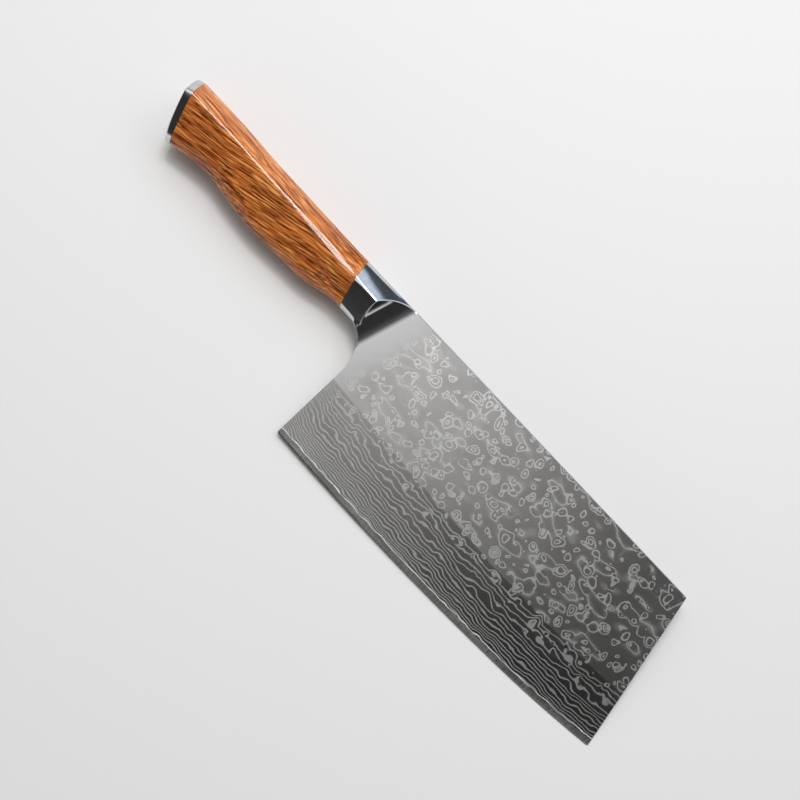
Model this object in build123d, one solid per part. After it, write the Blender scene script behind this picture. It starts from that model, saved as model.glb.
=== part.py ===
from build123d import *
import os
from math import cos, radians, sin, sqrt, tan

# A slicing cleaver: a three-layer blade on a hidden tang, a scooped and faceted steel bolster,
# a faceted wooden handle and a domed steel end cap. Millimetres.
#
# The pieces are drawn in the knife's own flat frame: x runs from the handle to the tip with zero at the
# back of the heel, y runs up to the spine with zero on the spine, z is the thickness with zero in the
# middle. At the end they are laid down on the three points on which the knife comes to rest.

# Outline of the blade
edge_length = 190.7      # back of the heel to the tip's lower corner
heel_height = 80.2
belly_height = 81.6      # where the edge lies lowest
belly_reach = 66.0       # from the heel to that place
rise_reach = 140.0       # where the edge starts to turn up towards the tip
rise_height = 79.8
tip_height = 75.0
tip_slant = 12.9         # degrees, the edge side leaning forward
corner_radius = 0.8      # corners of the heel and the tip

# Neck and tang, ground from the same plate
neck_height = 22.9
neck_length = 17.0       # back of the heel to the tang's shoulders
sweep_back = 14.0        # the neck's underside curves down into the heel as a quarter of an ellipse
sweep_drop = 19.1
tang_length = 88.0       # from the shoulders
tang_height = 11.0       # at the shoulders
tang_end_height = 7.0
tang_drop = 12.2         # spine to the middle of the tang
tang_corner = 1.5

# Thickness of the blade and its layers
heel_thickness = 2.4     # at the spine
tip_thickness = 2.0
core_thickness = 0.6
neck_recess = 0.3        # ground off each side of the neck and tang, for the bolster's cheeks
bevel_height = 34.0      # the wide bevel, above the edge
bevel_foot = 0.44        # thickness of the blade just behind the cutting bevel
cutting_height = 0.7
edge_land = 0.06         # thickness left at the cutting edge itself
spine_ease = 0.35

# Bolster
joint_reach = 26.5       # back of the heel to the joint between bolster and wood, at the spine
joint_slant = 13.5       # degrees, the belly side leaning forward
scoop_radius = 13.0
scoop_reach = 4.6        # where the scoops run out on the blade, at the spine, in front of the heel
scoop_slant = 14.8       # degrees, the spine side leaning forward
collar_ridge_drop = 9.2  # spine to the side ridge, at the joint
collar_ridge_half = 10.0
collar_strip_drop = 1.4  # the narrow strip beside the flat top
collar_strip_half = 4.0
collar_top_half = 2.0
collar_low_drop = 20.6   # corner between the lower side and the belly strip
collar_low_half = 4.2
collar_belly_half = 1.4
throat_ridge_drop = 10.0  # the same sizes at the front of the bolster's blank
throat_ridge_half = 9.7
throat_strip_drop = 1.1
throat_strip_half = 1.9
throat_top_half = 1.2
throat_low_drop = 20.8
throat_low_half = 3.8
throat_belly_half = 1.3
blank_overrun = 8.0      # the blank is drawn this much longer than the bolster at both ends
web_full_drop = 24.8     # spine to where the web below the collar has grown to its full width
web_overlap = 1.4        # how far that web reaches up into the collar

# Handle and end cap
grip_length = 106.2      # joint with the bolster to joint with the cap, at the spine
grip_depth = 28.0        # spine to the belly of the palm swell
grip_ridge_drop = 6.7
grip_ridge_half = 11.5   # half the width over the ridges, near the butt
grip_rise = 1.8          # the back of the handle stands this much above the spine near the butt
grip_strip_half = 4.8
grip_top_half = 2.0
strip_fall = 1.6         # flat top to the strip's corner
belly_corner_height = 4.5  # belly to the corner of the rounded bottom
belly_corner_half = 5.3
belly_flat_half = 1.8
side_swell = 0.6         # how far the lower sides and the round corners below them bulge
grip_sections = 16       # sections drawn along the handle
butt_slant = 15.6        # degrees, the belly side leaning forward
cap_thickness = 4.2      # at the dome's crown
cap_crown_drop = 8.0     # spine to the crown
cap_dome_radius = 140.0
cap_rim = 0.6

# Slot, resin and pins
slot_height = 13.0
slot_width = 4.2
slot_end_room = 2.0      # between the tang's end and the slot's
pin_radius = 1.0
pin_in_wood = 6.0
pin_in_steel = 3.0
collar_pin_top_drop = 2.6
collar_pin_low_drop = 20.4
cap_pin_top_drop = 4.0
cap_pin_low_drop = 21.0
cap_pin_in_steel = 1.6

overrun = 6.0            # how far a cutter runs past what it cuts

# Values worked out from the sizes above
core_half = core_thickness / 2
heel_half = heel_thickness / 2
tip_half = tip_thickness / 2
neck_half = heel_half - neck_recess
tip_spine_reach = edge_length - tip_height * tan(radians(tip_slant))
tang_reach = neck_length + tang_length
slot_reach = tang_reach + slot_end_room
butt_reach = joint_reach + grip_length
bevel_slope = (heel_thickness - bevel_foot) / 2 / bevel_height
cutting_half = bevel_foot / 2 + bevel_slope * cutting_height

# How the handle's section changes along it. Each row is one section, and all its values are shares: its
# place, of grip_length, from the joint towards the butt, then the back's rise, of grip_rise, the ridge's
# drop and half width, the strip's and the flat top's half widths, and the belly's depth, of grip_depth.
grip_section_shares = (
    (0.13, 0.06, 1.15, 0.89, 0.88, 0.95, 0.940),
    (0.24, 0.12, 1.08, 0.91, 0.92, 0.90, 0.965),
    (0.43, 0.28, 1.00, 0.94, 0.96, 0.85, 1.000),
    (0.59, 0.45, 0.93, 0.96, 0.98, 0.82, 0.950),
    (0.72, 0.83, 0.87, 0.98, 1.00, 0.80, 0.888),
    (0.86, 1.00, 0.85, 1.00, 1.00, 0.80, 0.945),
    (1.07, 1.00, 0.83, 1.02, 1.00, 0.80, 1.100),
    (1.28, 1.00, 0.81, 1.04, 1.00, 0.80, 1.250),
)


def edge_curve():
    """The cutting edge from heel to tip: one shallow arc, then a closer one that turns up to the tip."""
    flat = ThreePointArc((0, -heel_height), (belly_reach, -belly_height), (rise_reach, -rise_height))
    rise = TangentArc(flat @ 1, (edge_length, -tip_height), tangent=flat % 1)
    return flat, rise


def blade_outline():
    """Outline of the whole plate: blade, neck and tang."""
    flat, rise = edge_curve()
    tip_end = Line(rise @ 1, (tip_spine_reach, 0))
    spine = Line(tip_end @ 1, (-neck_length, 0))
    half = tang_height / 2
    end_half = tang_end_height / 2
    tang = Polyline(
        (-neck_length, 0),
        (-neck_length, half - tang_drop),
        (-tang_reach, end_half - tang_drop),
        (-tang_reach, -end_half - tang_drop),
        (-neck_length, -half - tang_drop),
        (-neck_length, -neck_height),
    )
    underside = Line(tang @ 1, (-sweep_back, -neck_height))
    sweep_centre = (-sweep_back, -neck_height - sweep_drop)
    throat = EllipticalCenterArc(sweep_centre, sweep_back, sweep_drop, arc_size=90)
    heel = Line((0, -neck_height - sweep_drop), (0, -heel_height))
    plate = make_face([flat, rise, tip_end, spine, tang, underside, throat, heel])

    at_tip = [corner for corner in plate.vertices() if corner.X > tip_spine_reach - corner_radius]
    at_heel = plate.vertices().group_by(Axis.Y)[0]
    plate = fillet(at_tip + at_heel, corner_radius)
    behind_heel = [corner for corner in plate.vertices() if corner.X < 0]
    on_tang = [corner for corner in behind_heel if abs(corner.Y + tang_drop) < half + tang_corner]
    return fillet(on_tang, tang_corner)


def flank_wedge(low):
    """Everything between the height low and the blade's tapering flank, on the +z side."""
    taper = (heel_half - tip_half) / tip_spine_reach
    back = -tang_reach - overrun
    front = edge_length + overrun
    side = Polyline(
        (back, low),
        (front, low),
        (front, heel_half - taper * front),
        (back, heel_half - taper * back),
        close=True,
    )
    profile = Plane.XZ * make_face(side)
    return extrude(profile, heel_height + tip_height, both=True)


def bevel_cutter(points):
    """Sweep a section along the edge. Its points are (distance in from the edge, height above middle)."""
    flat, rise = edge_curve()
    lead_in = Line(flat @ 0 - (flat % 0) * overrun, flat @ 0)
    lead_out = Line(rise @ 1, rise @ 1 + (rise % 1) * overrun)
    path = Wire([lead_in, flat, rise, lead_out])
    inward = Vector(0, 0, 1).cross(path % 0)
    station = Plane(origin=path @ 0, x_dir=inward, z_dir=path % 0)
    return sweep(station * make_face(Polyline(*points, close=True)), path=path)


def wide_bevel():
    """What the wide bevel takes off the +z side."""
    foot = bevel_foot / 2
    top = heel_half + overrun
    return bevel_cutter(
        [
            (-overrun, foot),
            (0, foot),
            (bevel_height, heel_half),
            (bevel_height, top),
            (-overrun, top),
        ]
    )


def cutting_bevel():
    """What the small cutting bevel takes off the +z side."""
    land = edge_land / 2
    top = heel_half + overrun
    return bevel_cutter(
        [
            (-overrun, land),
            (0, land),
            (cutting_height, cutting_half),
            (cutting_height, top),
            (-overrun, top),
        ]
    )


def eased_spine():
    """The corner taken off between flank and spine on the +z side, from the bolster to the tip."""
    along = (tip_spine_reach, 0, tip_half - heel_half)
    corner = Plane(origin=(scoop_reach, 0, heel_half), x_dir=(0, 1, 0), z_dir=along)
    section = Polyline(
        (-spine_ease - overrun, overrun),
        (overrun, -spine_ease - overrun),
        (overrun, overrun),
        close=True,
    )
    return extrude(corner * make_face(section), edge_length)


def behind_scoop_end(low):
    """Block behind the slanted line where the scoops run out, from the height low upwards."""
    size = tang_reach + heel_height
    block = Box(size, size * 2, size, align=(Align.MAX, Align.CENTER, Align.MIN))
    return Pos(scoop_reach, 0, low) * Rot(0, 0, -scoop_slant) * block


def blade_core():
    """The hard steel layer in the middle, with the cutting edge and the middle layer of the tang."""
    plate = extrude(blade_outline(), core_half, both=True)
    upper = wide_bevel() + cutting_bevel()
    return plate - upper - mirror(upper, about=Plane.XY)


def cladding():
    """The layered steel on the +z side: full thickness in the blade, ground thinner at neck and tang."""
    plate = extrude(blade_outline(), heel_thickness) & flank_wedge(core_half)
    plate = plate - behind_scoop_end(neck_half) - wide_bevel()
    return plate - eased_spine()


def faceted_section(x, sizes):
    """One closed section across the handle at x, the same on both sides.

    sizes holds five heights, at the back, the strip's corner, the ridge, the lower corner and the belly,
    then the half widths there, then how far the two lower sides bulge. Without a bulge all is straight.
    """
    heights = sizes[:5]
    halves = sizes[5:10]
    swell = sizes[10]
    right = list(zip(halves, heights))
    left = [(-half, height) for half, height in reversed(right)]
    corners = right + left
    edges = []
    for index, start in enumerate(corners):
        end = corners[(index + 1) % len(corners)]
        bulges = swell > 0 and index in (2, 3, 5, 6)
        edges.append(SagittaArc(start, end, -swell) if bulges else Line(start, end))
    station = Plane(origin=(x, 0, 0), x_dir=(0, 0, 1), z_dir=(-1, 0, 0))
    return station * make_face(edges)


def collar_sizes(x):
    """The bolster's sizes at x: its facets run straight from the joint to the throat."""
    share = (x + joint_reach) / (joint_reach + scoop_reach)
    at_joint = (
        0,
        -collar_strip_drop,
        -collar_ridge_drop,
        -collar_low_drop,
        -neck_height,
        collar_top_half,
        collar_strip_half,
        collar_ridge_half,
        collar_low_half,
        collar_belly_half,
        0,
    )
    at_throat = (
        0,
        -throat_strip_drop,
        -throat_ridge_drop,
        -throat_low_drop,
        -neck_height,
        throat_top_half,
        throat_strip_half,
        throat_ridge_half,
        throat_low_half,
        throat_belly_half,
        0,
    )
    return [joint + (throat - joint) * share for joint, throat in zip(at_joint, at_throat)]


def grip_sizes(shares):
    """The wooden handle's sizes, from one row of grip_section_shares."""
    back, ridge_drop, ridge, strip, top, depth = shares
    rise = grip_rise * back
    return [
        rise,
        rise - strip_fall,
        -grip_ridge_drop * ridge_drop,
        -grip_depth * depth + belly_corner_height,
        -grip_depth * depth,
        grip_top_half * top,
        grip_strip_half * strip,
        grip_ridge_half * ridge,
        belly_corner_half,
        belly_flat_half,
        side_swell,
    ]


def sizes_at(rows, x):
    """Sizes at x on smooth curves through the rows, each row being (place, sizes), in falling order."""
    index = 1
    while index < len(rows) - 3 and x < rows[index + 1][0]:
        index += 1
    before, sizes_before = rows[index - 1]
    start, sizes_start = rows[index]
    end, sizes_end = rows[index + 1]
    after, sizes_after = rows[index + 2]
    run = end - start
    share = (x - start) / run
    leave = share * (1 - share) ** 2 * run
    arrive = share**2 * (share - 1) * run
    blend = share**2 * (3 - 2 * share)
    sizes = []
    for a, b, c, d in zip(sizes_before, sizes_start, sizes_end, sizes_after):
        slope_start = (c - a) / (end - before)
        slope_end = (d - b) / (after - start)
        sizes.append(b + (c - b) * blend + slope_start * leave + slope_end * arrive)
    return sizes


def handle_body():
    """Bolster end to butt in one smooth faceted body, from which the wood and the cap are cut."""
    first = blank_overrun - joint_reach
    rows = [(x, collar_sizes(x)) for x in (0, first, -joint_reach)]
    for shares in grip_section_shares:
        rows.append((-joint_reach - grip_length * shares[0], grip_sizes(shares[1:])))
    last = rows[-2][0]
    step = (last - first) / (grip_sections - 1)
    places = [first + step * index for index in range(grip_sections)]
    return loft([faceted_section(x, sizes_at(rows, x)) for x in places])


def slanted_plane(reach, slant):
    """The plane of a joint: reach behind the heel at the spine, with its belly side leaning forward."""
    lean = radians(slant)
    return Plane(origin=(-reach, 0, 0), x_dir=(-sin(lean), cos(lean), 0), z_dir=(cos(lean), sin(lean), 0))


collar_joint = slanted_plane(joint_reach, joint_slant)
cap_joint = slanted_plane(butt_reach, butt_slant)


def pin_at(joint, drop, ahead, behind):
    """A pin square to a slanted joint, drop below the spine, reaching ahead and behind it."""
    along = drop / joint.x_dir.Y
    foot = joint.origin - joint.x_dir * along - joint.z_dir * behind
    return Plane(origin=foot, z_dir=joint.z_dir) * extrude(Circle(pin_radius), ahead + behind)


def bolster_pins():
    """Two blind pins between the bolster and the wood, above and below the tang."""
    drops = (collar_pin_top_drop, collar_pin_low_drop)
    return Compound([pin_at(collar_joint, drop, pin_in_steel, pin_in_wood) for drop in drops])


def end_cap_pins():
    """Two blind pins that hold the cap on the wood."""
    drops = (cap_pin_top_drop, cap_pin_low_drop)
    return Compound([pin_at(cap_joint, drop, pin_in_wood, cap_pin_in_steel) for drop in drops])


def plate_space():
    """The space that the neck and the tang take, at their ground thickness."""
    return extrude(blade_outline(), neck_half, both=True)


def slot():
    """The slot milled into the wood for the tang, round at both ends."""
    start = Plane(origin=(-neck_length, -tang_drop, 0), x_dir=(0, 1, 0), z_dir=(-1, 0, 0))
    return start * extrude(SlotOverall(slot_height, slot_width), slot_reach - neck_length)


def scoop():
    """The round hollow ground into one side of the bolster. It runs out level with the blade's flank."""
    lean = radians(scoop_slant)
    run = neck_height + sweep_drop
    middle = Vector(scoop_reach, 0, heel_half + scoop_radius)
    along = Vector(sin(lean), cos(lean), 0)
    return Plane(origin=middle - along * run, z_dir=along) * extrude(Circle(scoop_radius), run * 2)


def throat_web():
    """Steel under the bolster's belly that follows the sweep of the neck down to the heel, both sides."""
    wide = throat_low_half
    widen = sqrt(scoop_radius**2 - (scoop_radius - wide + heel_half) ** 2)
    full = scoop_reach - web_full_drop * tan(radians(scoop_slant)) - widen
    plan = Polyline(
        (-sweep_back, 0),
        (-sweep_back, collar_belly_half),
        (full, wide),
        (scoop_reach, wide),
        (scoop_reach, 0),
        close=True,
    )
    wedge = extrude(Plane.XZ * make_face(plan), neck_height + sweep_drop)
    right = wedge & extrude(blade_outline(), wide)
    low = Box(tang_reach, neck_height, tang_reach, align=(Align.CENTER, Align.MAX, Align.CENTER))
    right = right & Pos(0, web_overlap - neck_height, 0) * low
    return right + mirror(right, about=Plane.XY)


def bolster():
    """The faceted collar with a scoop on each side, slotted for the neck and bored for the tang."""
    ends = (-joint_reach - blank_overrun, scoop_reach + blank_overrun)
    blank = loft([faceted_section(x, collar_sizes(x)) for x in ends], ruled=True)
    blank = split(blank, bisect_by=collar_joint, keep=Keep.TOP)
    collar = (blank & behind_scoop_end(-tang_reach)) + (throat_web() & behind_scoop_end(-tang_reach))
    collar = collar - scoop() - mirror(scoop(), about=Plane.XY)
    return collar - plate_space() - bolster_pins()


def handle_block(body):
    """The wood: the handle's body between its two joints, with the tang's slot and the pins' holes."""
    wood = split(body, bisect_by=collar_joint, keep=Keep.BOTTOM)
    wood = split(wood, bisect_by=cap_joint, keep=Keep.TOP)
    return wood - slot() - bolster_pins() - end_cap_pins()


def tang_bedding():
    """Resin that fills the slot round the tang, level with the wood at the joint."""
    return split(slot(), bisect_by=collar_joint, keep=Keep.BOTTOM) - plate_space()


def end_cap(body):
    """The cap: a slice of the handle's body with a slightly domed outside and a softened rim."""
    slice_of_body = split(body, bisect_by=cap_joint, keep=Keep.BOTTOM)
    along = cap_crown_drop / cap_joint.x_dir.Y
    crown = cap_joint.origin - cap_joint.x_dir * along - cap_joint.z_dir * cap_thickness
    dome = Pos(crown + cap_joint.z_dir * cap_dome_radius) * Sphere(cap_dome_radius)
    cap = slice_of_body & dome
    cap = chamfer(cap.faces().filter_by(GeomType.SPHERE).edges(), cap_rim)
    return cap - end_cap_pins()


def resting_location():
    """Turn from the knife's own frame to the three low points on which it lies: butt, bolster and tip."""
    butt_shares = grip_section_shares[-2]
    butt_foot = Vector(-butt_reach, -grip_ridge_drop * butt_shares[2], -grip_ridge_half * butt_shares[3])
    lean = radians(scoop_slant)
    apex_run = sqrt(scoop_radius**2 - (scoop_radius + heel_half - throat_ridge_half) ** 2)
    apex_x = scoop_reach - throat_ridge_drop * tan(lean) - apex_run / cos(lean)
    collar_foot = Vector(apex_x, -throat_ridge_drop, -throat_ridge_half)
    tip_foot = Vector(edge_length, cutting_height - tip_height, -cutting_half)
    up = (tip_foot - butt_foot).cross(collar_foot - butt_foot).normalized()
    forward = Vector(1, 0, 0) - up * up.X
    return Plane(origin=butt_foot, x_dir=forward, z_dir=up).location.inverse()


body = handle_body()
right_layer = cladding()
pieces = {
    "blade_core": blade_core(),
    "cladding_right": right_layer,
    "cladding_left": mirror(right_layer, about=Plane.XY),
    "bolster": bolster(),
    "bolster_pins": bolster_pins(),
    "handle_block": handle_block(body),
    "tang_bedding": tang_bedding(),
    "end_cap": end_cap(body),
    "end_cap_pins": end_cap_pins(),
}

# Lay the knife down, then bring the middle of its footprint to the origin
lying = resting_location()
laid = {name: lying * piece for name, piece in pieces.items()}
box = Compound(list(laid.values())).bounding_box()
home = Pos(-box.center().X, -box.center().Y, -box.min.Z)
os.makedirs("parts", exist_ok=True)
for name, piece in laid.items():
    export_step(home * piece, f"parts/{name}.step")
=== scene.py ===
import bpy
import numpy as np
from mathutils import Matrix, Vector


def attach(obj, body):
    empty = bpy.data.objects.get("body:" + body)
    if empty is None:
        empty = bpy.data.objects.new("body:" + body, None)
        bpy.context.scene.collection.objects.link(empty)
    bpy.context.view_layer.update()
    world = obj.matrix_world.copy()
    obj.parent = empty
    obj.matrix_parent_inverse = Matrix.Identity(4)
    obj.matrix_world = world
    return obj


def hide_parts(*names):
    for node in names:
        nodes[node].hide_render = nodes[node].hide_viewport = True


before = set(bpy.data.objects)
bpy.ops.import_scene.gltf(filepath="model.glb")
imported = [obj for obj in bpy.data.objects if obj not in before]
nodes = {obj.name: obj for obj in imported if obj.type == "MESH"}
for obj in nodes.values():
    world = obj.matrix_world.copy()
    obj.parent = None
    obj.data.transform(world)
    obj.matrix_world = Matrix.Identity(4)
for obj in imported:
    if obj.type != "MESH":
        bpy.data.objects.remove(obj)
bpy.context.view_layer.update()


def knife_turn():
    """Turn from the knife's own flat frame to the row frame.

    The knife lies on three low points, at the butt, at the bolster and at the tip. The plane through them
    is the floor, so its normal is up, and forward is the spine's direction made square to it.
    """
    butt_foot = Vector((-132.7, -5.56, -11.73))
    bolster_foot = Vector((-10.66, -10.0, -9.7))
    tip_foot = Vector((190.7, -74.3, -0.24))
    up = (tip_foot - butt_foot).cross(bolster_foot - butt_foot).normalized()
    forward = (Vector((1, 0, 0)) - up * up.x).normalized()
    return Matrix((forward, up.cross(forward), up))


turn = knife_turn()
place = Vector((-26.72, 39.58, 10.68))  # where the knife's own origin comes to lie, in millimetres


def laid(points):
    """Points of the knife's own frame, in millimetres, turned and placed in the row frame, in metres."""
    return (np.asarray(points, float) @ np.array(turn).T + np.array(place)) / 1000


class Material:
    """A material on a principled shader, with the knife's own frame in millimetres to draw patterns in."""

    def __init__(self, name, **sockets):
        self.made = bpy.data.materials.new(name)
        self.made.use_nodes = True
        self.tree = self.made.node_tree
        self.shader = self.tree.nodes["Principled BSDF"]
        for socket, value in sockets.items():
            self.shader.inputs[socket.replace("_", " ")].default_value = value

    def node(self, kind, inputs=(), **settings):
        """A new node with these settings. Each input is a value or another node's output."""
        made = self.tree.nodes.new(kind)
        for setting, value in settings.items():
            setattr(made, setting, value)
        for key, value in dict(inputs).items():
            if isinstance(value, bpy.types.NodeSocket):
                self.tree.links.new(value, made.inputs[key])
            else:
                made.inputs[key].default_value = value
        return made

    def knife_frame(self):
        """The place on the knife in its own frame: the laying down, undone by one mapping."""
        where = self.node("ShaderNodeTexCoord").outputs["Object"]
        back = turn.transposed()
        mapping = self.node(
            "ShaderNodeMapping",
            {
                "Vector": where,
                "Scale": (1000, 1000, 1000),
                "Rotation": back.to_euler("XYZ"),
                "Location": -(back @ place),
            },
        )
        return mapping.outputs[0]

    def maths(self, operation, *values, clamp=False):
        """One operation on one to three values or outputs."""
        made = self.node("ShaderNodeMath", dict(enumerate(values)), operation=operation, use_clamp=clamp)
        return made.outputs[0]

    def spread(self, value, low, high, to_low=0.0, to_high=1.0):
        """A smooth step: to_low up to the value low, to_high from the value high."""
        inputs = {"Value": value, "From Min": low, "From Max": high, "To Min": to_low, "To Max": to_high}
        return self.node("ShaderNodeMapRange", inputs, interpolation_type="SMOOTHSTEP").outputs[0]

    def noise(self, vector, scale, detail=1.0, roughness=0.5):
        """Soft noise round one half, with features about one over scale across."""
        inputs = {"Vector": vector, "Scale": scale, "Detail": detail, "Roughness": roughness}
        return self.node("ShaderNodeTexNoise", inputs).outputs[0]

    def stretched(self, vector, scale):
        """The vector scaled unevenly, for grain and grinding marks."""
        return self.node("ShaderNodeMapping", {"Vector": vector, "Scale": scale}).outputs[0]

    def turned(self, vector, rotation):
        """The vector turned by these three angles."""
        return self.node("ShaderNodeMapping", {"Vector": vector, "Rotation": rotation}).outputs[0]

    def blend(self, share, start, end):
        """From colour start to colour end by share."""
        made = self.node("ShaderNodeMix", {0: share, 6: start, 7: end}, data_type="RGBA")
        return made.outputs[2]

    def drive(self, socket, output):
        """Joins an output to one of the shader's inputs."""
        self.tree.links.new(output, self.shader.inputs[socket])

    def bump(self, height, distance, strength=1.0):
        """Raises the surface by height times distance."""
        inputs = {"Height": height, "Distance": distance, "Strength": strength}
        self.drive("Normal", self.node("ShaderNodeBump", inputs).outputs[0])


def finish_nodes(material, *names):
    """Gives these CAD nodes this material and no other."""
    for name in names:
        nodes[name].data.materials.clear()
        nodes[name].data.materials.append(material.made)


core_steel = Material("honed core steel", Metallic=1.0)
spot = core_steel.knife_frame()
marks = core_steel.noise(core_steel.stretched(spot, (1.6, 0.25, 1.0)), 1.0, 3.0)
clouds = core_steel.noise(core_steel.stretched(spot, (0.05, 0.3, 0.3)), 1.0, 2.0)
tone = core_steel.maths("MULTIPLY_ADD", marks, 0.35, clouds)
shade = core_steel.spread(tone, 0.5, 0.85)
core_steel.drive("Base Color", core_steel.blend(shade, (0.28, 0.29, 0.27, 1), (0.42, 0.42, 0.41, 1)))
core_steel.drive("Roughness", core_steel.spread(marks, 0.3, 0.7, 0.26, 0.36))
finish_nodes(core_steel, "blade_core")

# The two claddings: steel folded into thin layers, forge-welded to the core and ground to a wide bevel.
# Dents hammered in before the grinding show as rings, and the etch leaves the cut layers pale and matt.
layered_steel = Material("etched layered steel", Metallic=1.0)
spot = layered_steel.knife_frame()
axes = layered_steel.node("ShaderNodeSeparateXYZ", {0: spot}).outputs
flank_half = 1.2  # half the blade's thickness at the heel
flank_taper = 0.00116  # how much of it is lost in each millimetre towards the tip
scoop_slope = 0.264  # how far the bolster's hollow leans forward in each millimetre of height
flank = layered_steel.maths("MULTIPLY_ADD", axes[0], -flank_taper, flank_half)
above = layered_steel.maths("ABSOLUTE", axes[2])
depth = layered_steel.maths("SUBTRACT", flank, above)


def dents(material, where, size, least, most, low, high):
    """Round rises at the middles of uneven cells, and how steep they are.

    A cell is size across, a rise from least to most of a cell in radius and from low to high layers tall.
    """
    inputs = {"Vector": where, "Scale": 1 / size, "Randomness": 0.72}
    cells = material.node("ShaderNodeTexVoronoi", inputs, voronoi_dimensions="2D")
    chance = material.node("ShaderNodeSeparateXYZ", {0: cells.outputs["Color"]}).outputs
    radius = material.spread(chance[1], 0.0, 1.0, least, most)
    out = material.maths("DIVIDE", cells.outputs["Distance"], radius, clamp=True)
    tall = material.spread(chance[0], 0.1, 0.9, low, high)
    rise = material.maths("MULTIPLY", material.spread(out, 0.0, 1.0, 1.0, 0.0), tall)
    fall = material.maths("MULTIPLY", out, material.maths("SUBTRACT", 1.0, out))
    fall = material.maths("MULTIPLY", fall, material.maths("ABSOLUTE", tall))
    return rise, material.maths("MULTIPLY", material.maths("DIVIDE", fall, radius), 6 / size)


def pushed(material, where, scale, reach):
    """The place pushed about by soft noise of this scale, by up to half of reach."""
    inputs = {"Vector": where, "Scale": scale, "Detail": 0.3}
    push = material.node("ShaderNodeTexNoise", inputs).outputs["Color"]
    middle = (0.5, 0.5, 0.5)
    push = material.node("ShaderNodeVectorMath", {0: push, 1: middle}, operation="SUBTRACT").outputs[0]
    inputs = {0: push, 1: (reach, reach, 0.0), 2: where}
    return material.node("ShaderNodeVectorMath", inputs, operation="MULTIPLY_ADD").outputs[0]


# The two sides of the blade get different rings, and each pattern goes straight through its sheet.
side = layered_steel.maths("SIGN", axes[2])
inputs = {0: side, 1: (37.0, 11.0, 0.0), 2: spot}
sheet = layered_steel.node("ShaderNodeVectorMath", inputs, operation="MULTIPLY_ADD").outputs[0]
sheet = layered_steel.stretched(sheet, (1.0, 1.0, 0.01))
large, large_fall = dents(layered_steel, pushed(layered_steel, sheet, 0.16, 5.0), 8.0, 0.28, 0.46, 0.5, 1.7)
small, small_fall = dents(layered_steel, pushed(layered_steel, sheet, 0.27, 3.0), 5.7, 0.22, 0.42, -0.8, 1.2)
sway = layered_steel.noise(layered_steel.stretched(sheet, (0.06, 0.13, 1.0)), 1.0, 0.5)
quiver = layered_steel.noise(layered_steel.stretched(sheet, (0.20, 0.27, 1.0)), 1.0, 0.4)
in_bevel = layered_steel.spread(depth, 0.0, 0.12)
on_flat = layered_steel.spread(depth, 0.02, 0.35, 1.0, 0.08)
rises = layered_steel.maths("MULTIPLY", layered_steel.maths("ADD", large, small), on_flat)
falls = layered_steel.maths("MULTIPLY", layered_steel.maths("ADD", large_fall, small_fall), on_flat)
# The count of layers cut through grows with the depth of the bevel. Dents, slow sways and a bend at the
# heel add to it, so the pale lines are its contours.
heel = layered_steel.spread(axes[0], -2.0, 12.0, 2.6, 0.0)
bent = layered_steel.maths("MULTIPLY", heel, layered_steel.spread(depth, 0.0, 0.45))
layers = layered_steel.maths("MULTIPLY", layered_steel.maths("MULTIPLY_ADD", depth, 14.0, 6.5), depth)
layers = layered_steel.maths("ADD", layers, rises)
layers = layered_steel.maths("MULTIPLY_ADD", sway, 2.9, layers)
layers = layered_steel.maths("MULTIPLY_ADD", quiver, layered_steel.spread(depth, 0.0, 0.3, 0.35, 1.6), layers)
layers = layered_steel.maths("ADD", layers, bent)
part_of_pair = layered_steel.maths("PINGPONG", layers, 0.5)
# The share of a layer, divided by how steeply the count changes, is a distance, so lines have an even width.
ground_fall = layered_steel.maths("MULTIPLY", layered_steel.maths("MULTIPLY_ADD", depth, 1.0, 0.26), in_bevel)
steep = layered_steel.maths("ADD", layered_steel.maths("ADD", falls, ground_fall), 0.13)
away = layered_steel.maths("DIVIDE", part_of_pair, steep)
away = layered_steel.maths("MULTIPLY", away, layered_steel.spread(depth, 0.0, 0.3, 1.0, 1.6))
line = layered_steel.spread(away, 0.10, 0.46, 1.0, 0.0)
halo = layered_steel.spread(part_of_pair, 0.04, 0.30, 0.50, 0.0)
pale = layered_steel.maths("MAXIMUM", line, halo)
# The pattern fades out beside the hollow, and a bright line marks the weld between cladding and core.
from_scoop = layered_steel.maths("MULTIPLY_ADD", axes[1], -scoop_slope, axes[0])
clear = layered_steel.spread(from_scoop, 5.0, 24.0)
pale = layered_steel.maths("MULTIPLY", pale, clear)
weld = layered_steel.maths("SUBTRACT", above, layered_steel.spread(quiver, 0.3, 0.7, 0.302, 0.322))
weld = layered_steel.spread(layered_steel.maths("ABSOLUTE", weld), 0.004, 0.010, 1.0, 0.0)
mist = layered_steel.noise(layered_steel.stretched(spot, (0.05, 0.05, 0.05)), 1.0, 2.0)
mist = layered_steel.spread(mist, 0.35, 0.65)
ground = layered_steel.blend(mist, (0.415, 0.405, 0.395, 1), (0.465, 0.455, 0.445, 1))
ground = layered_steel.blend(clear, (0.55, 0.55, 0.56, 1), ground)
colour = layered_steel.blend(pale, ground, (0.63, 0.625, 0.62, 1))
colour = layered_steel.blend(weld, colour, (0.90, 0.90, 0.90, 1))
layered_steel.drive("Base Color", colour)
rough = layered_steel.spread(pale, 0.0, 1.0, 0.13, 0.34)
layered_steel.drive("Roughness", layered_steel.maths("MULTIPLY_ADD", weld, 0.25, rough))
finish_nodes(layered_steel, "cladding_right", "cladding_left")

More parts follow.
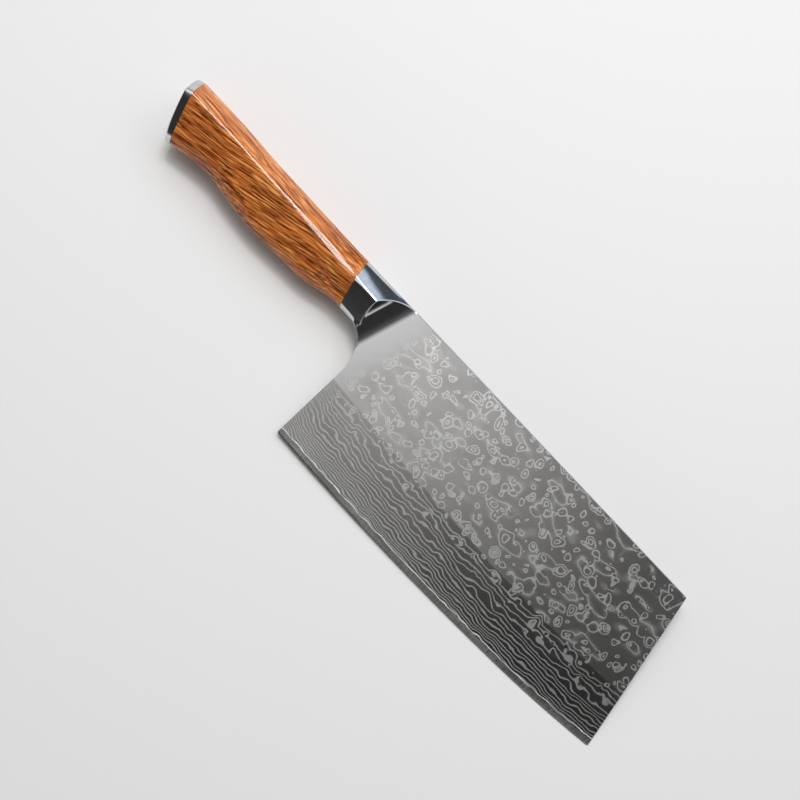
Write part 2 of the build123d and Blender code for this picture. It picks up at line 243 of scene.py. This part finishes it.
# The bolster: one piece of solid steel, filed to facets, with a round hollow ground into each side. Its
# edges are softened by buffing, and it is polished to a mirror. The blade's neck is held in its slot.
joint_reach = 26.5    # back of the heel to the joint between bolster and wood, at the spine
joint_slant = 13.5    # degrees
joint_gap = 0.05      # half the gap that the shells leave at both joints
scoop_reach = 4.6     # where the hollows run out on the blade, at the spine, in front of the heel
scoop_slant = 14.8
scoop_radius = 13.0
neck_height = 22.9
sweep_back = 14.0     # the neck's underside curves down into the heel as a quarter of an ellipse
sweep_drop = 19.1
web_start = -19.0     # where the web below the collar starts to widen towards the heel
web_run = 10.0        # the length in which it does
web_half = 3.1        # its half width after that
grip_rise = 1.8       # how far the back stands above the spine near the butt
set_back = 0.04       # how far the shell's back and bottom stay inside the solids
corner_ease = 0.2     # rounding where the hollow meets the back and the bottom
hollow_ease = 0.45    # the same where it meets the facets
facet_fullness = 0.12  # how far the broad facets bulge
ridge_flatness = 0.8  # share of the pull that makes the side ridge's rounding nearly flat
edge_use = 0.98       # most of an edge that the roundings at its two ends may take
no_limit = 40.0       # wider than any section

# Each row has one value for each place along the knife, counted from in front of the heel to the butt.
row_places = np.array([20.0, 4.6, -18.5, -26.5, -40.3, -52.0, -72.2, -89.2, -103.0, -117.8, -140.1, -162.4])
rise = grip_rise * np.array([0, 0, 0, 0, 0.06, 0.12, 0.28, 0.45, 0.83, 1.00, 1.00, 1.00])
section_rows = np.stack([
    # heights of the back, the strip's corner, the side ridge, the low corner and the belly
    rise,
    rise - np.array([0.95, 1.10, 1.32, 1.40, 1.60, 1.60, 1.60, 1.60, 1.60, 1.60, 1.60, 1.60]),
    -np.array([10.4, 10.0, 9.41, 9.20, 7.71, 7.24, 6.70, 6.23, 5.83, 5.70, 5.56, 5.43]),
    -np.array([21.8, 21.8, 21.75, 21.7, 22.7, 23.2, 24.0, 22.6, 20.86, 22.46, 26.8, 31.0]),
    -np.array([22.9, 22.9, 22.9, 22.9, 26.32, 27.02, 28.00, 26.60, 24.86, 26.46, 30.80, 35.00]),
    # half widths of the flat back and at the same corners
    np.array([0.80, 1.20, 1.79, 2.00, 1.90, 1.80, 1.70, 1.64, 1.60, 1.60, 1.60, 1.60]),
    np.array([0.86, 1.90, 3.46, 4.00, 4.22, 4.42, 4.61, 4.70, 4.80, 4.80, 4.80, 4.80]),
    np.array([9.55, 9.70, 9.92, 10.0, 10.24, 10.47, 10.81, 11.04, 11.27, 11.50, 11.73, 11.96]),
    np.array([3.09, 3.25, 3.53, 3.75, 5.55, 6.10, 6.20, 6.20, 6.20, 6.20, 6.20, 6.20]),
    np.array([1.25, 1.30, 1.37, 1.40, 1.80, 1.80, 1.80, 1.80, 1.80, 1.80, 1.80, 1.80]),
    # lengths that the rounding takes: back, strip, ridge, low corner going up and going down, belly
    np.array([0.3, 0.3, 0.4, 0.5, 0.6, 0.6, 0.6, 0.6, 0.6, 0.6, 0.6, 0.6]),
    np.array([0.3, 0.3, 0.5, 0.7, 0.8, 0.8, 0.8, 0.8, 0.8, 0.8, 0.8, 0.8]),
    np.array([0.3, 0.3, 0.5, 1.3, 1.7, 1.3, 0.9, 0.8, 0.7, 0.65, 0.6, 0.6]),
    np.array([0.3, 0.3, 0.9, 1.8, 8.0, 11.0, 12.0, 11.0, 9.5, 11.0, 13.0, 13.0]),
    np.array([0.3, 0.3, 0.6, 1.0, 2.6, 3.6, 4.0, 3.8, 3.4, 3.8, 4.0, 4.0]),
    np.array([0.2, 0.2, 0.3, 0.5, 1.0, 1.2, 1.2, 1.2, 1.2, 1.2, 1.2, 1.2]),
], 1)


def rows_at(x):
    """The sizes at x, on cubics through the rows. The slope at a row is that between its two neighbours."""
    index = np.clip(np.searchsorted(-row_places, -x) - 1, 1, len(row_places) - 3)
    before, start, stop, after = (row_places[index + step] for step in (-1, 0, 1, 2))
    run = (stop - start)[..., None]
    share = (x - start)[..., None] / run
    rows = [section_rows[index + step] for step in (-1, 0, 1, 2)]
    slope_start = (rows[2] - rows[0]) / (stop - before)[..., None]
    slope_stop = (rows[3] - rows[1]) / (after - start)[..., None]
    curve = rows[1] + (rows[2] - rows[1]) * share**2 * (3 - 2 * share)
    return curve + run * (slope_start * share * (1 - share) ** 2 + slope_stop * share**2 * (share - 1))


def soft_least(first, second, ease):
    """The smaller of two values, with a parabola in place of the corner where they are nearer than ease."""
    near = np.maximum(ease - np.abs(first - second), 0)
    return np.minimum(first, second) - near**2 / (4 * ease)


def side_rings(reaches, slants, counts, shape=None):
    """Rings of points round the handle's body, one for each reach behind the heel, slanted as the joints are.

    A ring has ten corners, five a side. Each corner is a parabola that starts and ends at that corner's cut
    lengths along the edges, and is pulled nearly flat at the side ridge. Each edge between two corners is a
    straight run, or a little full at the broad facets. The place along the knife depends on the height,
    because the ring slants, so the whole ring is worked out again a few times.
    """
    reaches = np.asarray(reaches, float)[:, None]
    lean = np.tan(np.radians(slants))[:, None]
    arcs, edges = counts
    runs = [count for pair in zip(arcs + arcs[::-1], edges[:5] + edges[3::-1] + edges[5:]) for count in pair]
    piece = np.repeat(np.arange(20), runs)
    share = np.concatenate([np.arange(count) / count for count in runs])[None, :, None]
    on_arc = (piece % 2 == 0)[:, None]
    corner, after_corner = piece // 2, (piece // 2 + 1) % 10
    column = np.arange(len(piece))
    flat_ease = np.where(np.isin(corner, (2, 7)), ridge_flatness, 0.0)[:, None]
    fullness = np.isin(corner, (1, 2, 6, 7))[:, None] * facet_fullness
    y = np.zeros((len(reaches), len(piece)))
    for _ in range(12):
        x = -reaches - y * lean
        sizes = rows_at(x)
        heights, halves, cuts = sizes[..., 0:5], sizes[..., 5:10], sizes[..., 10:16]
        if shape is not None:
            heights, halves = shape(x, y, heights, halves)
        right = np.stack([halves, heights], 3)
        points = np.concatenate([right, right[:, :, ::-1] * (-1, 1)], 2)
        upward, downward = cuts[..., [0, 1, 2, 3, 5]], cuts[..., [0, 1, 2, 4, 5]]
        back = np.concatenate([upward, downward[..., ::-1]], 2)
        ahead = np.concatenate([downward, upward[..., ::-1]], 2)
        here, after, before = (points[:, column, (corner + step) % 10] for step in (0, 1, -1))
        to_after, to_before = after - here, before - here
        long_after = np.linalg.norm(to_after, axis=2, keepdims=True)
        long_before = np.linalg.norm(to_before, axis=2, keepdims=True)
        leave = ahead[:, column, corner][..., None] / long_after
        come = back[:, column, after_corner][..., None] / long_after
        over = np.maximum(leave + come, edge_use) / edge_use
        before_corner = (corner - 1) % 10
        came_from = ahead[:, column, before_corner][..., None] / long_before
        arrive = back[:, column, corner][..., None] / long_before
        arrive = arrive / (np.maximum(came_from + arrive, edge_use) / edge_use)
        arc_start = here + to_before * arrive
        arc_stop = here + to_after * leave / over
        next_start = after - to_after * come / over
        start = np.where(on_arc, arc_start, arc_stop)
        stop = np.where(on_arc, arc_stop, next_start)
        pulled = here + ((arc_start + arc_stop) / 2 - here) * flat_ease
        middle = np.where(on_arc, pulled, (arc_stop + next_start) / 2)
        across = start * (1 - share) ** 2 + middle * 2 * share * (1 - share) + stop * share**2
        outward = np.stack([-to_after[..., 1], to_after[..., 0]], 2) / long_after
        across = across + outward * np.where(on_arc, 0, fullness * 4 * share * (1 - share))
        y = across[..., 1]
    return np.stack([x, y, across[..., 0]], 2)


def skin(name, rings, material, sharp=35.0):
    """A closed piece from rings of points in the knife's frame, with a point in the middle of both ends."""
    count, around = rings.shape[:2]
    middles = rings[[0, -1]].mean(1)
    points = laid(np.concatenate([rings.reshape(-1, 3), middles]))
    ring, step = np.meshgrid(np.arange(count - 1), np.arange(around), indexing="ij")
    beyond = (step + 1) % around
    quads = np.stack([ring * around + step, ring * around + beyond, (ring + 1) * around + beyond,
                      (ring + 1) * around + step], 2).reshape(-1, 4)
    first = np.arange(around)
    last = first + (count - 1) * around
    after = (first + 1) % around
    start_fan = np.stack([after, first, np.full(around, count * around)], 1)
    stop_fan = np.stack([last, after + (count - 1) * around, np.full(around, count * around + 1)], 1)
    a, b, c = (points[quads[:, k]] for k in range(3))
    if np.einsum("ij,ij->", np.cross(b - a, c - a), a - points.mean(0)) < 0:
        quads, start_fan, stop_fan = quads[:, ::-1], start_fan[:, ::-1], stop_fan[:, ::-1]
    mesh = bpy.data.meshes.new(name)
    mesh.from_pydata(points, [], quads.tolist() + start_fan.tolist() + stop_fan.tolist())
    mesh.shade_smooth()
    mesh.set_sharp_from_angle(angle=np.radians(sharp))
    mesh.materials.append(material.made)
    piece = bpy.data.objects.new(name, mesh)
    bpy.context.scene.collection.objects.link(piece)
    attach(piece, "root")
    return piece


def scooped(x, y, heights, halves):
    """The web below the collar, and the hollows' limit on the flat back and the bottom of the ring."""
    run = np.clip(x + sweep_back, 0, sweep_back - 0.1) / sweep_back
    under = neck_height + sweep_drop - sweep_drop * np.sqrt(np.maximum(1 - run**2, 0))
    heights = heights.copy()
    halves = halves.copy()
    heights[..., 4] = np.minimum(-neck_height, -under) + set_back
    heights[..., 0] -= set_back
    widen = np.clip((x - web_start) / web_run, 0, 1)
    halves[..., 4] = halves[..., 4] + (web_half - halves[..., 4]) * widen**2 * (3 - 2 * widen)
    limit = scoop_limit(x, y)
    halves[..., 0] = soft_least(halves[..., 0], limit, corner_ease)
    halves[..., 4] = soft_least(halves[..., 4], limit, corner_ease)
    return heights, halves


def scoop_limit(x, y):
    """Half width that the hollow leaves: a cylinder that ends level with the flank. Behind it is no limit."""
    lean = np.radians(scoop_slant)
    behind = (scoop_reach - x) * np.cos(lean) + y * np.sin(lean)
    inside = np.clip(behind, 0, scoop_radius)
    hollow = flank_half + scoop_radius - np.sqrt(scoop_radius**2 - inside**2)
    return np.where(behind < scoop_radius, hollow, no_limit)


mirror_steel = Material("mirror polished steel", Metallic=1.0)
spot = mirror_steel.knife_frame()
axes = mirror_steel.node("ShaderNodeSeparateXYZ", {0: spot}).outputs
from_scoop = mirror_steel.maths("MULTIPLY_ADD", axes[1], -scoop_slope, axes[0])
run_out = mirror_steel.spread(from_scoop, -6.0, 3.0)
hairs = mirror_steel.noise(mirror_steel.stretched(spot, (0.3, 6.0, 6.0)), 1.0, 3.0, 0.6)
clouds = mirror_steel.spread(mirror_steel.noise(spot, 0.35, 2.0), 0.35, 0.65)
tone = mirror_steel.blend(clouds, (0.58, 0.58, 0.59, 1), (0.64, 0.64, 0.65, 1))
mirror_steel.drive("Base Color", mirror_steel.blend(run_out, tone, (0.55, 0.55, 0.56, 1)))
rough = mirror_steel.spread(hairs, 0.3, 0.7, 0.06, 0.11)
mirror_steel.drive("Roughness", mirror_steel.maths("MULTIPLY_ADD", run_out, 0.12, rough))
share = np.linspace(0, 1, 180)
start, stop = joint_reach - joint_gap, -scoop_reach
reaches = start + (stop - start) * share
slants = joint_slant - (joint_slant + scoop_slant) * share
rings = side_rings(reaches, slants, ([4, 5, 9, 5, 5], [8, 48, 60, 30, 10, 8]), scooped)
limit = scoop_limit(rings[..., 0], rings[..., 1])
rings[..., 2] = np.sign(rings[..., 2]) * soft_least(np.abs(rings[..., 2]), limit, hollow_ease)
bolster = skin("bolster_shell", rings, mirror_steel)
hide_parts("bolster")

# The handle: one block of dense wood with a slanting grain, shaped to facets that swell for the palm, then
# sanded and oiled until it shines. Sanding has eased its edges, the low corners most. The grain slants
# below the side ridges and runs level above them, towards the spine, where the colour is painted a little
# paler: painted light on the upper side, which faces the lamps.
butt_reach = 132.7    # back of the heel to the joint between wood and cap, at the spine
butt_slant = 15.6     # degrees
wood = Material("oiled wood", Coat_Weight=0.9, Coat_Roughness=0.10, Coat_IOR=1.5, Specular_IOR_Level=0.05)
spot = wood.knife_frame()
axes = wood.node("ShaderNodeSeparateXYZ", {0: spot}).outputs
ridge_start = 140.0   # behind the heel, near the butt
ridge_run = ridge_start - joint_reach
ridge_drop = 5.56     # spine to the ridge there
ridge_fall = 1.2      # it falls by this much on an even slope, and by the next on a sixth power
ridge_turn = 2.44
along = wood.maths("MULTIPLY_ADD", axes[0], 1 / ridge_run, ridge_start / ridge_run, clamp=True)
ridge = wood.maths("MULTIPLY_ADD", along, -ridge_fall, -ridge_drop)
ridge = wood.maths("MULTIPLY_ADD", wood.maths("POWER", along, 6.0), -ridge_turn, ridge)
over_ridge = wood.spread(wood.maths("SUBTRACT", axes[1], ridge), -0.02, 0.02)
grain = Vector((0.984, 0.177, 0.050)).normalized()
side_way = Vector((0, -0.27, 0.96)).cross(grain).normalized()
grain_turn = Matrix((grain, side_way, grain.cross(side_way))).to_euler("XYZ")
moved = pushed(wood, wood.stretched(spot, (0.35, 1.0, 1.0)), 0.09, 3.0)
moved = wood.stretched(moved, (1 / 0.35, 1.0, 1.0))
slanted = wood.turned(moved, grain_turn)
level = wood.turned(moved, (0.3, 0.012, 0.014))
grained = wood.node("ShaderNodeMix", {0: over_ridge, 4: slanted, 5: level}, data_type="VECTOR").outputs[1]
figure = wood.noise(wood.stretched(grained, (0.03, 0.10, 0.10)), 1.0, 2.0)
streaks = wood.noise(wood.stretched(grained, (0.045, 1.6, 1.6)), 1.0, 3.0, 0.65)
fibres = wood.noise(wood.stretched(grained, (0.12, 2.9, 2.9)), 1.0, 2.0, 0.6)
flecks = wood.noise(wood.stretched(grained, (0.06, 2.2, 2.2)), 1.0, 1.0)
pores = wood.noise(wood.stretched(grained, (0.12, 2.6, 2.6)), 1.0, 1.0)
tone = wood.maths("MULTIPLY_ADD", streaks, 1.25, wood.maths("MULTIPLY", figure, 0.35))
tone = wood.maths("MULTIPLY_ADD", fibres, 0.55, tone)
# Painted light: above the side ridge the wood is made a little paler, for the upper side that faces the
# lamps.
tone = wood.maths("MULTIPLY_ADD", over_ridge, 0.06, tone)
colour = wood.blend(wood.spread(tone, 0.93, 1.09), (0.080, 0.016, 0.004, 1), (0.42, 0.104, 0.020, 1))
colour = wood.blend(wood.spread(tone, 1.09, 1.26), colour, (0.70, 0.235, 0.050, 1))
colour = wood.blend(wood.spread(flecks, 0.60, 0.68, 0.0, 0.9), colour, (0.95, 0.43, 0.12, 1))
colour = wood.blend(wood.spread(pores, 0.60, 0.67, 0.0, 0.85), colour, (0.06, 0.014, 0.004, 1))
wood.drive("Base Color", colour)
wood.drive("Roughness", wood.spread(fibres, 0.3, 0.7, 0.45, 0.30))
wood.bump(wood.maths("SUBTRACT", fibres, wood.spread(pores, 0.60, 0.70)), 0.00003, 0.5)
body_counts = ([4, 5, 9, 18, 6], [3, 10, 10, 4, 4, 4])
share = np.linspace(0, 1, 200)
start, stop = joint_reach + joint_gap, butt_reach - joint_gap
reaches = start + (stop - start) * share
slants = joint_slant + (butt_slant - joint_slant) * share
rings = side_rings(reaches, slants, body_counts)
handle = skin("handle_skin", rings, wood)
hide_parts("handle_block")

# The end cap: a slice of polished steel with the section of the wood and a slightly domed outside. Blind
# pins hold it on the slanted butt, and its rim is rounded by buffing.
crown_drop = 8.0      # spine to the crown, along the joint's drop
middle_drop = 12.5    # the same to the middle of the cap, where its rings close
crown_height = 4.15   # joint to crown
dome_radius = 140.0
rim_ease = 0.7
lean = np.radians(butt_slant)
outward = np.array([-np.cos(lean), -np.sin(lean), 0])
crown = np.array([-butt_reach + crown_drop * np.tan(lean), -crown_drop, 0])
middle = np.array([-butt_reach + middle_drop * np.tan(lean), -middle_drop, 0])


def dome_height(points):
    """How far the dome stands above the joint's plane, over points of that plane."""
    away = np.linalg.norm(points - crown, axis=-1, keepdims=True)
    return crown_height - (dome_radius - np.sqrt(dome_radius**2 - away**2))


rim = side_rings([butt_reach], [butt_slant], body_counts)[0]
arms = rim - middle
lengths = np.linalg.norm(arms, axis=1, keepdims=True)
wall_top = dome_height(rim) - rim_ease
wall = [rim + outward * (joint_gap + (wall_top - joint_gap) * step) for step in np.linspace(0, 1, 8)]
angles = np.linspace(0, np.pi / 2, 9)[1:]
inner_steps = np.linspace(0.95, 0.04, 18)
kept = [1 - rim_ease * (1 - np.cos(angle)) / lengths for angle in angles]
drops = [rim_ease * (1 - np.sin(angle)) for angle in angles]
kept += [(1 - rim_ease / lengths) * step for step in inner_steps]
drops += [0.0] * len(inner_steps)
spots = [middle + arms * part for part in kept]
domes = [spot + outward * (dome_height(spot) - drop) for spot, drop in zip(spots, drops)]
cap = skin("end_cap_shell", np.array(wall + domes), mirror_steel)
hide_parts("end_cap")

# The bed round the tang: dark resin with fine bubbles in it. It is poured into the slot in the wood before
# the blade is pushed in, and cures there round the tang.
resin = Material("cured resin", Roughness=0.5)
spot = resin.knife_frame()
streaming = resin.noise(resin.stretched(spot, (0.12, 0.4, 0.4)), 1.0, 3.0)
bubbles = resin.node("ShaderNodeTexVoronoi", {"Vector": spot, "Scale": 0.9}).outputs["Distance"]
shade = resin.spread(streaming, 0.35, 0.65)
colour = resin.blend(shade, (0.075, 0.058, 0.048, 1), (0.12, 0.095, 0.08, 1))
colour = resin.blend(resin.spread(bubbles, 0.12, 0.2, 1.0, 0.0), colour, (0.24, 0.20, 0.17, 1))
resin.drive("Base Color", colour)
resin.drive("Roughness", resin.spread(streaming, 0.3, 0.7, 0.38, 0.6))
finish_nodes(resin, "tang_bedding")

# The blind pins: four lengths of drawn steel wire, two at each end of the wood. They are pressed into holes
# there and in the bolster and the cap, and keep the facets in line.
pin_steel = Material("drawn steel wire", Metallic=1.0)
spot = pin_steel.knife_frame()
scores = pin_steel.noise(pin_steel.stretched(spot, (0.3, 7.0, 7.0)), 1.0, 3.0, 0.6)
colour = pin_steel.blend(pin_steel.spread(scores, 0.3, 0.7), (0.46, 0.46, 0.47, 1), (0.64, 0.64, 0.65, 1))
pin_steel.drive("Base Color", colour)
pin_steel.drive("Roughness", pin_steel.spread(scores, 0.3, 0.7, 0.42, 0.28))
finish_nodes(pin_steel, "bolster_pins", "end_cap_pins")

# The floor: a plain pale sheet. Round the knife it is lit and takes the shadow. Farther off, it shows one
# even tone, to the camera and in reflections only, so that it sheds no light of its own.
floor_half = 12.0     # metres
floor_mesh = bpy.data.meshes.new("floor")
corners = [(x * floor_half, y * floor_half, 0) for x, y in ((-1, -1), (1, -1), (1, 1), (-1, 1))]
floor_mesh.from_pydata(corners, [], [(0, 1, 2, 3)])
floor = bpy.data.objects.new("floor", floor_mesh)
bpy.context.scene.collection.objects.link(floor)
floor_paint = Material("pale floor", Roughness=0.7, Base_Color=(0.76, 0.75, 0.74, 1))
lit_to, even_from = 0.22, 0.75  # metres from the middle
floor_spot = floor_paint.node("ShaderNodeTexCoord").outputs["Object"]
reach = floor_paint.node("ShaderNodeVectorMath", {0: floor_spot}, operation="LENGTH").outputs["Value"]
seen = floor_paint.node("ShaderNodeLightPath").outputs
seen = floor_paint.maths("MAXIMUM", seen["Is Camera Ray"], seen["Is Glossy Ray"])
far = floor_paint.maths("MULTIPLY", floor_paint.spread(reach, lit_to, even_from), seen)
even = floor_paint.node("ShaderNodeEmission", {"Color": (0.80, 0.795, 0.79, 1), "Strength": 1.0})
inputs = {0: far, 1: floor_paint.shader.outputs[0], 2: even.outputs[0]}
blended = floor_paint.node("ShaderNodeMixShader", inputs).outputs[0]
floor_paint.tree.links.new(blended, floor_paint.tree.nodes["Material Output"].inputs["Surface"])
floor_mesh.materials.append(floor_paint.made)

# The light: a plain studio whose walls and ceiling are zones of grey. Polished steel shows little but what
# it mirrors, so each zone gives a facet its tone. Three lamps shine from beyond the spine.
world = bpy.data.worlds.new("studio")
bpy.context.scene.world = world
world.use_nodes = True
tree = world.node_tree
background = tree.nodes["Background"]
direction = tree.nodes.new("ShaderNodeTexCoord")
split = tree.nodes.new("ShaderNodeSeparateXYZ")
tree.links.new(direction.outputs["Generated"], split.inputs[0])


def sky_step(socket, low, high, to_low, to_high):
    """A smooth step over a value of the sky."""
    made = tree.nodes.new("ShaderNodeMapRange")
    made.interpolation_type = "SMOOTHSTEP"
    for key, value in {"From Min": low, "From Max": high, "To Min": to_low, "To Max": to_high}.items():
        made.inputs[key].default_value = value
    tree.links.new(socket, made.inputs["Value"])
    return made.outputs[0]


def sky_mix(share, start, end):
    """From start to end by share."""
    made = tree.nodes.new("ShaderNodeMix")
    for key, value in ((0, share), (2, start), (3, end)):
        if isinstance(value, bpy.types.NodeSocket):
            tree.links.new(value, made.inputs[key])
        else:
            made.inputs[key].default_value = value
    return made.outputs[0]


along_way, across_way, height = split.outputs
# Overhead: pale towards the butt and dark towards the tip, and darker still where the bevel mirrors it.
blade_glow = sky_step(along_way, -0.10, 0.22, 1.05, 0.14)
bevel_glow = sky_step(along_way, -0.10, 0.14, 0.45, 0.01)
overhead_glow = sky_mix(sky_step(across_way, -0.26, -0.08, 1.0, 0.0), blade_glow, bevel_glow)
# Beyond the spine: pale at the horizon, a dark band over it, and white above that.
horizon = sky_step(height, 0.05, 0.14, 0.85, 0.10)
far_side = sky_mix(sky_step(height, 0.26, 0.32, 0.0, 1.0), horizon, 1.0)
# On the edge's side: pale at the horizon, then dark, with a grey part high up towards the tip.
near_high = sky_mix(sky_step(along_way, -0.04, 0.06, 0.0, 1.0), 0.04, 0.40)
near_side = sky_mix(sky_step(height, 0.40, 0.55, 0.0, 1.0), 0.06, near_high)
near_side = sky_mix(sky_step(height, 0.25, 0.42, 0.0, 1.0), 0.85, near_side)
sides = sky_mix(sky_step(across_way, -0.35, 0.25, 0.0, 1.0), near_side, far_side)
# Straight ahead of the tip: a dark strip, from just over the horizon up, which the bolster's hollow mirrors.
ahead = sky_mix(sky_step(across_way, 0.15, 0.40, 1.0, 0.0), 0.0, sky_step(along_way, 0.15, 0.45, 0.0, 1.0))
ahead = sky_mix(sky_step(across_way, -0.65, -0.45, 0.0, 1.0), 0.0, ahead)
sides = sky_mix(ahead, sides, sky_step(height, 0.03, 0.10, 0.85, 0.04))
overhead = sky_step(height, 0.84, 0.94, 0.0, 1.0)
# The far side is a little blue, as daylight is.
tint = tree.nodes.new("ShaderNodeMix")
tint.data_type = "RGBA"
tint.inputs[6].default_value = (1.0, 1.0, 1.0, 1.0)
tint.inputs[7].default_value = (0.80, 0.93, 1.10, 1.0)
tree.links.new(sky_step(across_way, 0.45, 0.85, 0.0, 1.0), tint.inputs[0])
glow = tree.nodes.new("ShaderNodeVectorMath")
glow.operation = "SCALE"
tree.links.new(tint.outputs[2], glow.inputs[0])
tree.links.new(sky_mix(overhead, sides, overhead_glow), glow.inputs["Scale"])
tree.links.new(glow.outputs[0], background.inputs["Color"])
background.inputs["Strength"].default_value = 1.0


def soft_box(name, where, aim, width, height, power):
    """A lamp of this width and height at where, facing aim, its width level."""
    lamp = bpy.data.lights.new(name, "AREA")
    lamp.shape = "RECTANGLE"
    lamp.size = width
    lamp.size_y = height
    lamp.energy = power
    made = bpy.data.objects.new(name, lamp)
    made.location = where
    made.rotation_euler = (Vector(aim) - Vector(where)).to_track_quat("-Z", "Y").to_euler()
    bpy.context.scene.collection.objects.link(made)
    return made


lamp_aim = (-0.05, 0.0, 0.0)
window = soft_box("window", (-0.25, 1.30, 1.15), lamp_aim, 2.4, 0.80, 8.0)
window.visible_glossy = False  # or the blade would mirror it and turn white from the front
soft_box("lamp over the handle", (-0.36, 0.60, 1.10), lamp_aim, 0.56, 0.22, 6.0)
soft_box("lamp over the bolster", (-0.14, 0.34, 1.10), lamp_aim, 0.12, 0.34, 1.8)

# The camera stands almost over the blade and looks a little towards the bolster. Its place and its target
# are in millimetres of the knife's own frame, and its lens is given by the picture's width in pixels.
image_size = 800
focal_pixels = 1330
eye = laid([(49.7, -29.3, 579.5)])[0]
target = laid([(26.7, -31.5, 0.0)])[0]
image_up = Vector(turn @ Vector((-0.728, 0.686, 0.0)))
camera_data = bpy.data.cameras.new("camera")
camera_data.sensor_width = 36
camera_data.lens = camera_data.sensor_width * focal_pixels / image_size
camera_data.clip_start = 0.01
camera = bpy.data.objects.new("camera", camera_data)
away = Vector(eye - target).normalized()
right = image_up.cross(away).normalized()
up_now = away.cross(right)
camera.matrix_world = Matrix.Translation(Vector(eye)) @ Matrix((right, up_now, away)).transposed().to_4x4()
bpy.context.scene.collection.objects.link(camera)
bpy.context.scene.camera = camera
bpy.context.scene.view_settings.view_transform = "Standard"
